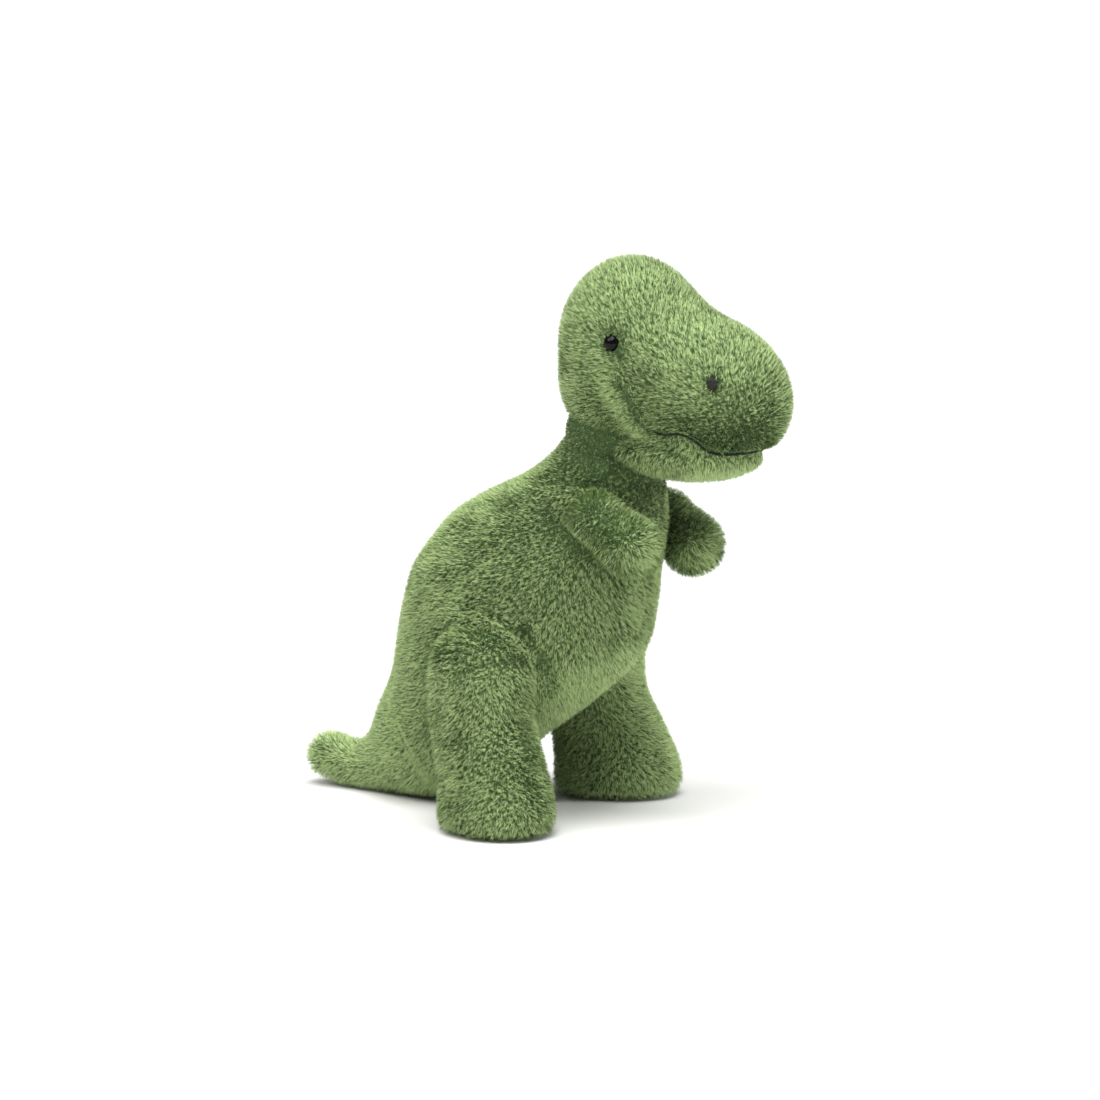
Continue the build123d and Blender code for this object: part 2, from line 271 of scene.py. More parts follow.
def creased(p):
    """How much the creases around the legs pull the surface in, on either side of the toy."""
    x, y, z = np.abs(p[:, 0]), p[:, 1], p[:, 2]
    near = (x > 22) & (z > 55) & (z < 112) & (y > -36) & (y < 38)
    q = folded(p[near])
    pull = np.zeros(len(p))
    for depth, width, line in LEG_CREASES:
        pull[near] += seam(line_distance(q, line)[0], depth, width)
    return pull


def dimple(p, center, depth, width):
    return depth * np.exp(-((p - center) ** 2).sum(axis=1) / width**2)


def seam(distance, depth, width):
    """How much a sewn seam pulls the surface in, at a distance from its plane or line."""
    return depth * np.exp(-(distance / width) ** 2)


def neck_fold(p, height, rise, depth, width):
    return seam(p[:, 2] - height - rise * (p[:, 1] - NECK_AXIS_Y), depth, width)


def trunk_form(p):
    """The torso, the neck and the tail in one form."""
    y, z = p[:, 1], p[:, 2]
    slope = BELLY_SLOPE[0] * (y - BELLY_SPOT[0]) + BELLY_SLOPE[1] * (z - BELLY_SPOT[1])
    trunk = smooth_max(stack(p, TORSO_RINGS), slope, BELLY_MELT)
    trunk = smooth_max(trunk, SEAT_HEIGHT - z, SEAT_MELT)
    body = smooth_min(trunk, round_cone_chain(p, TAIL_CHAIN, TAIL_MELT), TAIL_TO_TRUNK)
    body = smooth_max(body, -z, TAIL_FLOOR_MELT)
    body = smooth_max(body, z - TORSO_TOP, TORSO_TOP_MELT)
    folds = neck_fold(p, *NECK_FOLD)
    folds += neck_fold(p, *THROAT_FOLD) * (y < THROAT_BACK)
    return body + seam(p[:, 0], *CENTRE_SEAM) + folds + creased(p)


def past_rump(p):
    """0 where the tail's cloth starts to follow the tail, 1 where it follows it wholly."""
    start, end = RUMP_CUT
    return ((p - start) @ (end - start)) / ((end - start) @ (end - start))


def leg_form(p, side):
    q = mirror_x(p, side)
    q[:, 1] -= LEG_STANCE[side] * np.clip(1 - q[:, 2] / HIP[2], 0, 1)
    column = stack(q, LEG_RINGS, TOE_OUT)
    column = smooth_max(column, q[:, 2] - LEG_TOP, LEG_TOP_MELT)
    column = smooth_max(column, -q[:, 2], SOLE_MELT)
    column += creased(p)
    column += seam(line_distance(q, LEG_SEAM)[0], *LEG_SEAM_CUT)
    return column + seam(q[:, 2] - SOLE_SEAM_HEIGHT, *SOLE_SEAM_CUT) * (q[:, 2] > 1)


def arm_form(p, side):
    return round_cone_chain(mirror_x(p, side), ARM_CHAINS[side], ARM_MELT)


def drooped(p, center, angle):
    """Points turned about X through a centre, so that a form made there points downwards."""
    c, s = math.cos(angle), math.sin(angle)
    q = p - np.array(center)
    x, y, z = q.T
    return np.stack((x, c * y + s * z, -s * y + c * z), axis=1) + np.array(center)


def head_form(p):
    snout = ellipsoid(drooped(p, SNOUT[0], SNOUT_DROOP), *SNOUT)
    skull = smooth_min(ellipsoid(p, *CRANIUM), snout, SNOUT_MELT)
    skull = smooth_min(skull, ellipsoid(p, *NAPE), NAPE_MELT)
    head = smooth_min(skull, ellipsoid(p, *JAW), JAW_MELT)
    q = folded(p)
    near = (q[:, 2] < 226) & (q[:, 1] < -50)
    distance, nearest = line_distance(q[near], MOUTH)
    head[near] += seam(distance, MOUTH_DEPTH + CORNER_DEPTH * at_corner(nearest), MOUTH_WIDTH)
    return head + dimple(q, EYE, *EYE_DIMPLE) + dimple(q, NOSTRIL, *NOSTRIL_DIMPLE)


def torso_only(p):
    return smooth_max(trunk_form(p), (past_rump(p) - TORSO_PAST) * RUMP_SPAN, CUT_MELT)


def tail_only(p):
    return smooth_max(trunk_form(p), (TAIL_BEFORE - past_rump(p)) * RUMP_SPAN, CUT_MELT)


FORMS = {
    "torso": trunk_form,
    "tail": trunk_form,
    "head": head_form,
    "leg_right": lambda p: leg_form(p, -1),
    "leg_left": lambda p: leg_form(p, 1),
    "arm_right": lambda p: arm_form(p, -1),
    "arm_left": lambda p: arm_form(p, 1),
}
CLOSED = dict(FORMS, torso=torso_only, tail=tail_only)
BOXES = {
    "torso": ((-70, -90, -6), (70, 112, 216)),
    "tail": ((-46, 30, -6), (46, 148, 80)),
    "head": ((-50, -150, 164), (50, 4, 288)),
    "leg_right": ((-100, -60, -6), (-8, 50, 130)),
    "leg_left": ((8, -60, -6), (100, 50, 130)),
    "arm_right": ((-54, -94, 110), (6, -6, 184)),
    "arm_left": ((-6, -94, 110), (54, -6, 184)),
}


def gradient(form, p, step=0.4):
    g = np.empty_like(p)
    for axis in range(3):
        shift = np.zeros(3)
        shift[axis] = step
        g[:, axis] = form(p + shift) - form(p - shift)
    size = np.linalg.norm(g, axis=1, keepdims=True)
    return g / np.maximum(size, 1e-9), size[:, 0] / (2 * step)


def settle(form, p, level, rounds=3):
    """Moves points onto the form's surface at a level."""
    for _ in range(rounds):
        normal, slope = gradient(form, p)
        p = p - normal * ((form(p) - level) / np.maximum(slope, 0.3))[:, None]
    return p


CORNERS = np.array([(i, j, k) for i in (0, 1) for j in (0, 1) for k in (0, 1)])
EDGES = [
    (a, b) for a in range(8) for b in range(a + 1, 8)
    if np.abs(CORNERS[a] - CORNERS[b]).sum() == 1
]


def surface_net(form, low, high, level, step):
    """Quads of the surface where form equals level: one vertex in each crossed cell of a grid."""
    low = np.array(low, float)
    counts = np.ceil((np.array(high) - low) / step).astype(int) + 1
    axes = [low[i] + step * np.arange(counts[i]) for i in range(3)]
    grid = np.stack(np.meshgrid(*axes, indexing="ij"), axis=-1).reshape(-1, 3)
    field = (form(grid) - level).reshape(counts)
    inside = field < 0
    cells = counts - 1
    corner_values = [field[tuple(slice(a, a + n) for a, n in zip(c, cells))] for c in CORNERS]
    filled = sum((v < 0).astype(int) for v in corner_values)
    crossed = (filled > 0) & (filled < 8)
    where = np.argwhere(crossed)
    values = np.stack([v[crossed] for v in corner_values], axis=1)
    total, hits = np.zeros((len(where), 3)), np.zeros(len(where))
    for a, b in EDGES:
        va, vb = values[:, a], values[:, b]
        cut = (va < 0) != (vb < 0)
        t = np.where(cut, va / np.where(cut, va - vb, 1.0), 0.0)
        point = CORNERS[a] + t[:, None] * (CORNERS[b] - CORNERS[a])
        total[cut] += point[cut]
        hits[cut] += 1
    points = low + step * (where + total / hits[:, None])
    index = -np.ones(cells, int)
    index[tuple(where.T)] = np.arange(len(where))
    faces = []
    for axis in range(3):
        u, v = (axis + 1) % 3, (axis + 2) % 3
        lead = [slice(None)] * 3
        lead[axis] = slice(0, counts[axis] - 1)
        trail = list(lead)
        trail[axis] = slice(1, counts[axis])
        a, b = inside[tuple(lead)], inside[tuple(trail)]
        spots = np.argwhere(a != b)
        spots = spots[(spots[:, u] > 0) & (spots[:, v] > 0)]
        spots = spots[(spots[:, u] < cells[u]) & (spots[:, v] < cells[v])]
        out = a[tuple(spots.T)]
        around = []
        for du, dv in ((1, 1), (0, 1), (0, 0), (1, 0)):
            cell = spots.copy()
            cell[:, u] -= du
            cell[:, v] -= dv
            around.append(index[tuple(cell.T)])
        quad = np.stack(around, axis=1)
        quad[~out] = quad[~out][:, ::-1]
        faces.append(quad)
    return settle(form, points, level), np.concatenate(faces)


def new_mesh(name, points, faces):
    """A Blender object from points in millimetres and a rectangular array of faces."""
    mesh = bpy.data.meshes.new(name)
    mesh.vertices.add(len(points))
    mesh.vertices.foreach_set("co", (points * MM).astype(np.float32).ravel())
    sides = faces.shape[1]
    mesh.loops.add(faces.size)
    mesh.loops.foreach_set("vertex_index", faces.astype(np.int32).ravel())
    mesh.polygons.add(len(faces))
    mesh.polygons.foreach_set("loop_start", np.arange(0, faces.size, sides, dtype=np.int32))
    mesh.update(calc_edges=True)
    mesh.validate()
    mesh.polygons.foreach_set("use_smooth", np.ones(len(mesh.polygons), bool))
    piece = bpy.data.objects.new(name, mesh)
    bpy.context.scene.collection.objects.link(piece)
    return piece


# ------------------------------------------------------------------ pile
def unit(v):
    return v / np.maximum(np.linalg.norm(v, axis=1, keepdims=True), 1e-9)


class Waves:
    """Smooth seeded noise: a sum of sine waves with wavelengths near a size in millimetres."""

    def __init__(self, seed, size, count=9):
        draw = np.random.default_rng(seed)
        direction = unit(draw.normal(size=(count, 3)))
        self.k = direction * (2 * math.pi / (size * draw.uniform(0.7, 1.5, (count, 1))))
        self.phase = draw.uniform(0, 2 * math.pi, count)

    def value(self, p):
        return np.sin(p @ self.k.T + self.phase).sum(axis=1) / math.sqrt(len(self.k) / 2)

    def slope(self, p):
        """Unit-scaled gradient, so that it says a direction and a strength near 1."""
        g = np.cos(p @ self.k.T + self.phase) @ self.k
        return g / (np.linalg.norm(self.k, axis=1).mean() * math.sqrt(len(self.k) / 6))


SWIRL = Waves(11, 16.0)
TUFT = Waves(12, 2.6, 18)
SHADE = Waves(13, 1.7, 18)
BROAD = Waves(14, 30.0)
DENSITY = 3.4
TONES = 10


def x_sign(p):
    """Brings a direction worked out on the folded side back to the point's own side."""
    return np.sign(p[:, :1]) * np.array((1.0, 0, 0)) + np.array((0, 1.0, 1.0))


def comb(body, p):
    """Which way the pile lies, before noise and before it parts at the face and the creases."""
    q = folded(p)
    down = np.array((0.0, 0.0, -1.0))
    if body == "head":
        jaw = np.clip((196.0 - p[:, 2]) / 8.0, 0, 1)[:, None]
        return np.array((0.0, 0.45, 0.9)) * (1 - jaw) + np.array((0.0, -0.2, -1.0)) * jaw
    if body.startswith("arm"):
        along = np.array(ARM_CHAINS[1][-1][:3]) - SHOULDER
        along /= np.linalg.norm(along)
        past = np.clip((q - SHOULDER) @ along / 24.0, 0, 1)[:, None]
        outward = np.sign(p[:, :1]) * np.array((0.5, 0.0, 0.0))
        shoulder = np.array((0.0, 0.1, -1.0)) + outward
        return shoulder * (1 - past) + along * np.array((0, 1, 1)) * past
    if body.startswith("leg"):
        rim = np.clip((8.0 - p[:, 2]) / 8.0, 0, 1)[:, None]
        out = q - np.array((LEG_RINGS[0][1], LEG_RINGS[0][2], 0.0))
        out[:, 0] *= np.sign(p[:, 0])
        out[:, 2] = 0
        outward = 0.5 * np.sign(p[:, :1]) * np.array((1.0, 0, 0))
        return (down + outward) * (1 - rim) + unit(out) * rim
    tail = np.clip(past_rump(p) * 0.6 + 0.6, 0, 1)[:, None]
    return np.array((0.0, 0.3, -1.0)) * (1 - tail) + np.array((0.0, 1.0, -0.15)) * tail


def sample(draw, points, faces, density):
    """Stratified spots on a quad mesh: the quad of each, and its weights on the four corners."""
    corner = points[faces]
    area = 0.5 * (
        np.linalg.norm(np.cross(corner[:, 1] - corner[:, 0], corner[:, 2] - corner[:, 0]), axis=1)
        + np.linalg.norm(np.cross(corner[:, 2] - corner[:, 0], corner[:, 3] - corner[:, 0]), axis=1)
    )
    wanted = area * density
    number = np.floor(wanted + draw.random(len(faces))).astype(int)
    quad = np.repeat(np.arange(len(faces)), number)
    u, v = draw.random(len(quad)), draw.random(len(quad))
    weights = np.stack(((1 - u) * (1 - v), u * (1 - v), u * v, (1 - u) * v), axis=1)
    return quad, weights


def turned(v, axis, angle):
    """v, which is square to axis, turned about it."""
    return v * np.cos(angle)[:, None] + np.cross(axis, v) * np.sin(angle)[:, None]


# by the first three letters of a body: how far its pile lies over (0 stands, 1 lies), and how much
# painted light lifts it, in steps of the palette
PILE_LEAN = {"tor": 0.25, "tai": 0.4, "hea": 0.42, "leg": 0.6, "arm": 0.3}
PILE_PAINTED_LIGHT = {"arm": 3.0, "leg": 0.8}
# pile beside another body is short, and darker with painted shade for the shadow that falls there:
# how far that reaches in mm, the height where it fades, and how dark the painted shade gets
CREASES = {
    ("tor", "arm"): (8.0, 168.0, 4.2),
    ("arm", "tor"): (3.0, 160.0, 2.0),
    ("tor", "leg"): (7.0, 100.0, 2.4),
    ("leg", "tor"): (3.0, 95.0, 2.4),
    ("tor", "hea"): (24.0, 300.0, 6.4),
    ("tai", "leg"): (14.0, 100.0, 2.4),
}
LEGS, ARMS = ("leg_right", "leg_left"), ("arm_right", "arm_left")
MELTS = {"torso": LEGS + ARMS, "tail": LEGS, **{limb: ("torso",) for limb in LEGS + ARMS}}
BURIED = -7.5
# how wide the melt is at a low and at a high height: a crease below, a smooth shoulder above
MELT_REACH = {"leg": ((82.0, 101.0), (4.0, 15.0)), "arm": ((150.0, 163.0), (2.5, 12.0))}


def melted(body, p):
    """The body's form with the dip beside its neighbours filled in."""
    own = FORMS[body](p)
    for other in MELTS.get(body, ()):
        limb = other if body in ("torso", "tail") else body
        heights, reaches = MELT_REACH[limb[:3]]
        own = smooth_min(own, FORMS[other](p), np.interp(p[:, 2], heights, reaches))
    return own


def beside_others(body, root):
    """Which roots stand clear of the other bodies, and how much painted shade the crease beside
    those gets (its strength also shortens the pile).
    """
    clear = np.ones(len(root), bool)
    crease = np.zeros(len(root))
    for other, rival in FORMS.items():
        if other == body or {other, body} == {"torso", "tail"}:
            continue
        depth = rival(root)
        clear &= depth > BURIED
        if (body[:3], other[:3]) not in CREASES:
            continue
        reach, fade, dark = CREASES[body[:3], other[:3]]
        low = np.clip((fade - root[:, 2]) / 20.0, 0.1, 1)
        # the painted shade also reaches the chest in front of the arms
        if other.startswith("arm"):
            low = np.maximum(low, np.clip((-44.0 - root[:, 1]) / 10.0, 0, 1))
        # painted shade: pile near another body is darker where that body's shadow falls
        crease = np.maximum(crease, dark * low * np.exp(-(np.maximum(depth, 0) / reach) ** 2))
    return clear, crease


def fill_melts(body, root, normal, clear):
    """Lifts the roots beside a neighbour onto the melted surface, in place."""
    fill = -PILE_DEPTH - melted(body, root)
    near = (fill > 0.1) & clear
    melt_normal, _ = gradient(lambda p: melted(body, p), root[near])
    depths = [FORMS[other](root[near]) for other in MELTS[body]]
    outside = np.all([depth > -PILE_DEPTH - 0.5 for depth in depths], axis=0)
    spots = np.flatnonzero(near)[outside]
    normal[spots] = melt_normal[outside]
    root[spots] += melt_normal[outside] * fill[spots, None]


def painted_light_by_facing(body, s):
    """Painted light and shade: pile is lighter or darker by the way its cloth faces, in steps of
    the palette.
    """
    root, normal = s["root"], s["normal"]
    # painted light: pile facing the front is lighter, and the arms and legs are lifted as a whole
    to_front = np.clip(-normal[:, 1], 0, 1) ** 2
    s["shade"] += (3.2 if body == "head" else 2.0) * to_front + PILE_PAINTED_LIGHT.get(body[:3], 0.0)
    # painted shade: the top of the head is darker
    if body == "head":
        s["shade"] -= 1.8 * np.clip(normal[:, 2], 0, 1)
    # painted light: torso and legs are lighter, less so where they face sideways
    if body == "torso" or body in LEGS:
        s["shade"] += 1.0 - 1.8 * normal[:, 0] ** 2
    # painted light on the upper back and painted shade on the lower rump, where they face backwards
    if body in ("torso", "tail"):
        height = np.clip((root[:, 2] - 70.0) / 30.0, -1, 1)
        height = height * np.clip((105.0 - root[:, 1]) / 20.0, 0, 1)
        s["shade"] += 1.4 * height * np.clip(normal[:, 1] + 0.3, 0, 1)


def part_at_leg_creases(s):
    """Pile leans off the creases around the legs, and is shorter beside them, with painted shade
    along them.
    """
    q, sign = folded(s["root"]), x_sign(s["root"])
    for depth, _, line in LEG_CREASES:
        apart, nearest = line_distance(q, line)
        near = np.exp(-(apart / 4.0) ** 2)
        s["way"] = s["way"] + depth * near[:, None] * unit(q - nearest) * sign
        s["lean"] += 0.5 * depth * near
        s["length"] *= 1 - 0.14 * depth * near
        # painted shade along the crease
        s["shade"] -= 1.5 * depth * np.exp(-(apart / 3.0) ** 2)
        s["keep"] &= apart > 0.45 * depth


# where pile parts around a feature of the face: its centre, the bare radius, the pull's reach
FACE_PARTINGS = ((EYE, 4.6, 5.0), (NOSTRIL, 3.2, 4.0))
FACE_PULL = 3.0
LIP = 1.6


def part_at_face(s):
    """Pile leans off the eyes, the nostrils and the mouth and is shorter there; it carries painted
    shade around them, and painted light below the mouth.
    """
    q, sign = folded(s["root"]), x_sign(s["root"])
    for center, clear, reach in FACE_PARTINGS:
        away = q - center
        distance = np.linalg.norm(away * np.array((1.0, 1.25, 0.95)), axis=1)
        near = np.exp(-(distance / (clear + reach)) ** 2)
        s["way"] = s["way"] + FACE_PULL * near[:, None] * unit(away) * sign
        s["keep"] &= distance > clear
        s["length"] *= 1 - 0.35 * np.exp(-((distance - clear) / 2.5) ** 2)
        # painted shade in the dimple around the eye and the nostril
        s["shade"] -= 2.2 * np.exp(-((distance - clear) / 3.5) ** 2)
    distance, nearest = line_distance(q, MOUTH)
    near = np.exp(-(distance / 6.0) ** 2)
    corner = at_corner(nearest)
    s["way"] = s["way"] + ((4.0 + 5.0 * corner) * near)[:, None] * unit(q - nearest) * sign
    s["keep"] &= distance > LIP + 0.8 * corner
    below = (q - nearest) @ np.array((0.0, 0.6, -0.8)) > 0
    lower = near * below
    lip = np.exp(-((distance - LIP) / 1.6) ** 2)
    # painted light on the pile below the mouth, painted shade above it and in the groove, darkest
    # at the corner
    s["shade"] += 1.4 * lower - 1.4 * near * ~below - 2.5 * (1 + corner) * lip
    s["length"] *= (1 + 0.3 * lower) * (1 - 0.6 * np.exp(-((distance - LIP) / 2.2) ** 2))
    pressed = np.exp(-((distance - LIP) / (2.6 + 2.4 * corner)) ** 2)
    s["lean"] += (1.6 + 0.6 * corner) * pressed


def longer_at_ends(body, s):
    """Pile is longer at the hands, the tail's tip and the feet, and short under the soles."""
    root, length = s["root"], s["length"]
    if body in ARMS:
        hand = np.array(ARM_CHAINS[1][-1][:3])
        hand[0] *= np.sign(root[:, 0]).mean()
        length *= 1 + 0.15 * (np.linalg.norm(root - hand, axis=1) < 17)
    if body == "tail":
        length *= 1 + 0.35 * np.clip((root[:, 1] - 95) / 35, 0, 1)
    if body in LEGS:
        length *= 1 + 0.2 * np.clip((12 - root[:, 2]) / 12, 0, 1)
        length[root[:, 2] < 3.6] *= 0.5


SWIRL_TURN, WAY_SPREAD = 0.22, 0.45


def grow(body, points, faces, seed):
    """Strands of pile for a body: roots on its cloth, and all that their shape needs."""
    draw = np.random.default_rng(seed)
    normals, _ = gradient(FORMS[body], points)
    quad, weights = sample(draw, points, faces, DENSITY)
    corners = faces[quad]
    root = (points[corners] * weights[:, :, None]).sum(axis=1)
    normal = unit((normals[corners] * weights[:, :, None]).sum(axis=1))
    keep, crease = beside_others(body, root)
    if body == "torso":
        keep &= past_rump(root) < 0.0
    if body == "tail":
        keep &= past_rump(root) >= 0.0
    if body in MELTS:
        fill_melts(body, root, normal, keep)
    # crease is painted shade, and it also shortens the pile
    s = dict(root=root, normal=normal, way=comb(body, root), shade=-crease, keep=keep)
    s["lean"] = np.full(len(root), PILE_LEAN[body[:3]])
    s["length"] = 1 - 0.08 * crease
    painted_light_by_facing(body, s)
    if body == "torso" or body in LEGS:
        part_at_leg_creases(s)
    if body == "head":
        part_at_face(s)
    longer_at_ends(body, s)
    way = s["way"] - normal * (s["way"] * normal).sum(axis=1, keepdims=True)
    s["lean"] *= np.clip(np.linalg.norm(way, axis=1), 0.25, 1.0)
    spin = SWIRL_TURN * SWIRL.value(root) + draw.normal(0, WAY_SPREAD, len(root))
    s["way"] = turned(unit(way), normal, spin)
    keep = s.pop("keep")
    return {key: value[keep] for key, value in s.items()}, draw


STRAND_LENGTH, LENGTH_SPREAD = 4.0, 0.1
STRAND_WIDTH = 0.31
# degrees off the normal for each half of a strand: standing, added by a full lean, spread
LOW_BEND, HIGH_BEND = (10, 14, 8), (20, 22, 12)
ROOT_DEPTH, FLOOR_CLEARANCE = 0.5, 0.25
TIP_TUFT, MIDDLE_TUFT = 0.5, 0.2
# steps of the palette: middle, fine noise, broad noise, spread between strands, root or tip off it
# (the darker root and lighter tip are partly the fibres' own colour, partly painted shade deep in
# the pile)
TONE_MIDDLE, TONE_FINE, TONE_BROAD, TONE_SPREAD, TONE_END = 5.1, 1.9, 0.2, 2.0, 3.0


def bend(draw, lean, standing, added, spread):
    return np.radians(standing + added * lean + draw.normal(0, spread, len(lean)))


def strand_mesh(name, s, draw, materials):
    """One mesh of tapered, bent ribbons, two faces each."""
    count = len(s["root"])
    root, normal, way = s["root"], s["normal"], s["way"]
    length = STRAND_LENGTH * s["length"] * (1 + draw.normal(0, LENGTH_SPREAD, count))
    low = bend(draw, s["lean"], *LOW_BEND)
    high = bend(draw, s["lean"], *HIGH_BEND)
    first = normal * np.cos(low)[:, None] + way * np.sin(low)[:, None]
    second = normal * np.cos(high)[:, None] + way * np.sin(high)[:, None]
    start = root - normal * ROOT_DEPTH
    middle = start + first * (0.5 * length)[:, None]
    tuft = TUFT.slope(root)
    tuft -= normal * (tuft * normal).sum(axis=1, keepdims=True)
    tip = middle + second * (0.5 * length)[:, None] + TIP_TUFT * tuft
    middle = middle + MIDDLE_TUFT * tuft
    for spot in (start, middle, tip):
        spot[:, 2] = np.maximum(spot[:, 2], FLOOR_CLEARANCE)
    along = unit(tip - start)
    side = unit(np.cross(along, normal) + 0.5 * normal * draw.normal(0, 1, (count, 1)))
    half = 0.5 * STRAND_WIDTH * draw.uniform(0.75, 1.25, (count, 1))
    wide, narrow = side * half, side * half * 0.85
    ribbon = (start - wide, start + wide, middle + narrow, middle - narrow, tip)
    vertices = np.stack(ribbon, axis=1)
    face_normal = unit(np.cross(side, along))
    face_normal *= np.sign((face_normal * normal).sum(axis=1, keepdims=True) + 1e-9)
    shown = unit(normal * 0.7 + face_normal * 0.3 + way * 0.15)
    mesh = bpy.data.meshes.new(name)
    mesh.vertices.add(count * 5)
    mesh.vertices.foreach_set("co", (vertices * MM).astype(np.float32).ravel())
    mesh.loops.add(count * 7)
    loops = np.array((0, 1, 2, 3, 3, 2, 4)) + 5 * np.arange(count)[:, None]
    mesh.loops.foreach_set("vertex_index", loops.astype(np.int32).ravel())
    mesh.polygons.add(count * 2)
    starts = np.array((0, 4)) + 7 * np.arange(count)[:, None]
    mesh.polygons.foreach_set("loop_start", starts.astype(np.int32).ravel())
    # a strand's shade: the painted light and shade worked out above, plus noise and a random spread
    # of its own tone
    shade = TONE_MIDDLE + s["shade"] + TONE_FINE * SHADE.value(root)
    shade = shade + TONE_BROAD * BROAD.value(root) + draw.normal(0, TONE_SPREAD, count)
    # root half a step darker, tip half a step lighter: partly the fibres' own colour, partly
    # painted shade deep in the pile
    tone = np.stack((shade - TONE_END, shade + TONE_END), axis=1)
    tone = np.clip(np.round(tone), 0, TONES - 1).astype(np.int32)
    mesh.polygons.foreach_set("material_index", tone.ravel())
    mesh.polygons.foreach_set("use_smooth", np.ones(count * 2, bool))
    mesh.update(calc_edges=True)
    attribute = mesh.attributes.new("custom_normal", "FLOAT_VECTOR", "POINT")
    attribute.data.foreach_set("vector", np.repeat(shown, 5, axis=0).astype(np.float32).ravel())
    for m in materials:
        mesh.materials.append(m)
    piece = bpy.data.objects.new(name, mesh)
    bpy.context.scene.collection.objects.link(piece)
    return piece


def principled(name, color, roughness, **sockets):
    m = bpy.data.materials.new(name)
    m.use_nodes = True
    shader = m.node_tree.nodes["Principled BSDF"]
    shader.inputs["Base Color"].default_value = (*color, 1)
    shader.inputs["Roughness"].default_value = roughness
    for socket, value in sockets.items():
        shader.inputs[socket.replace("_", " ")].default_value = value
    return m


# the pile's palette, dark to light; its steps carry the fibres' own tone and also the painted light
# and shade
DEEP_GREEN = np.array((0.032, 0.068, 0.016))
TIP_GREEN = np.array((0.48, 0.64, 0.27))
PILE_TONES = []
for i in range(TONES):
    t = i / (TONES - 1)
    color = DEEP_GREEN * (1 - t) + TIP_GREEN * t
    finish = dict(Specular_IOR_Level=0.2, Sheen_Weight=0.1)
    PILE_TONES.append(principled(f"pile_{i}", color, 0.75, **finish))


def noisy(material, strength, scale, distance):
    """Fine bump from seeded noise on a material's normal."""
    nodes, links = material.node_tree.nodes, material.node_tree.links
    place = nodes.new("ShaderNodeTexCoord")
    noise = nodes.new("ShaderNodeTexNoise")
    noise.inputs["Scale"].default_value = scale
    bump = nodes.new("ShaderNodeBump")
    bump.inputs["Strength"].default_value = strength
    bump.inputs["Distance"].default_value = distance
    links.new(place.outputs["Object"], noise.inputs["Vector"])
    links.new(noise.outputs["Fac"], bump.inputs["Height"])
    links.new(bump.outputs["Normal"], nodes["Principled BSDF"].inputs["Normal"])
    return noise


def mottled(material, dark, light, scale, bump):
    """Two colours mixed by seeded noise, with fine bump."""
    noise = noisy(material, bump, scale, 0.0005)
    nodes, links = material.node_tree.nodes, material.node_tree.links
    ramp = nodes.new("ShaderNodeValToRGB")
    ramp.color_ramp.elements[0].position = 0.35
    ramp.color_ramp.elements[0].color = (*dark, 1)
    ramp.color_ramp.elements[1].position = 0.65
    ramp.color_ramp.elements[1].color = (*light, 1)
    links.new(noise.outputs["Fac"], ramp.inputs["Fac"])
    links.new(ramp.outputs["Color"], nodes["Principled BSDF"].inputs["Base Color"])


CLOTH = principled("pile_backing", (0.05, 0.1, 0.03), 0.9)
mottled(CLOTH, (0.035, 0.07, 0.018), (0.07, 0.13, 0.04), 900.0, 0.6)

SKIN_STEP = 2.0
# the two bodies that a body's skin and pile would bend between, and where that bend would start and
# end, in m; this script reads only the keys, and leaves those pieces without a parent, their
# transform applied to the mesh
BLENDS = {
    "torso": ("torso", "neck", (0, -0.03, 0.165), (0, -0.03, 0.182)),
    "tail": ("torso", "tail", (0, 0.062, 0.040), (0, 0.090, 0.026)),
    "leg_right": ("torso", "leg_right", (0, 0, 0.103), (0, 0, 0.062)),
    "leg_left": ("torso", "leg_left", (0, 0, 0.103), (0, 0, 0.062)),
    "arm_right": ("torso", "arm_right", (0, -0.034, 0.155), (0, -0.054, 0.145)),
    "arm_left": ("torso", "arm_left", (0, -0.034, 0.155), (0, -0.054, 0.145)),
}


def beyond_seam(side, r):
    """Whether roots lie on the outer side of a leg's seam plane, which leans from hip to foot."""
    drop = (HIP[2] - r[:, 2]) / HIP[2]
    return side * r[:, 0] > HIP[0] + drop * (LEG_RINGS[0][1] - HIP[0])


def panel_masks(body, r):
    """The sewn panels of a body: name, roots on it, and the CAD node that its pile stands for."""
    right, left = r[:, 0] < 0, r[:, 0] >= 0
    if body == "torso":
        neck, front = r[:, 2] > NECK_FOOT, r[:, 1] < 0
        panels = []
        for word, half in (("right", right), ("left", left)):
            panels.append((f"neck_{word}", half & neck, f"neck_{word}"))
            panels.append((f"torso_{word}_front", half & ~neck & front, f"torso_{word}"))
            panels.append((f"torso_{word}_back", half & ~neck & ~front, f"torso_{word}"))
        return panels
    if body == "tail":
        panels = {"tail_right": right, "tail_left": left}
    elif body == "head":
        chin = (r[:, 2] < 194) & (r[:, 1] < -58)
        gusset = (np.abs(r[:, 0]) < 9) & ~chin
        panels = {"head_right": right & ~chin & ~gusset, "head_left": left & ~chin & ~gusset}
        panels.update(head_gusset=gusset, chin_panel=chin)
    elif body in ARMS:
        outer = (1 if body.endswith("left") else -1) * r[:, 0] > SHOULDER[0] + 7.0
        panels = {f"{body}_outer": outer, f"{body}_inner": ~outer}
    else:
        sole = r[:, 2] < 6.0
        outer = beyond_seam(1 if body.endswith("left") else -1, r) & ~sole
        panels = {f"{body}_outer": outer, f"{body}_inner": ~outer & ~sole, f"{body}_sole": sole}
    return [(name, mask, name) for name, mask in panels.items()]


def follow(piece, body):
    if body in BLENDS:
        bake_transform(piece)
    else:
        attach(piece, body)


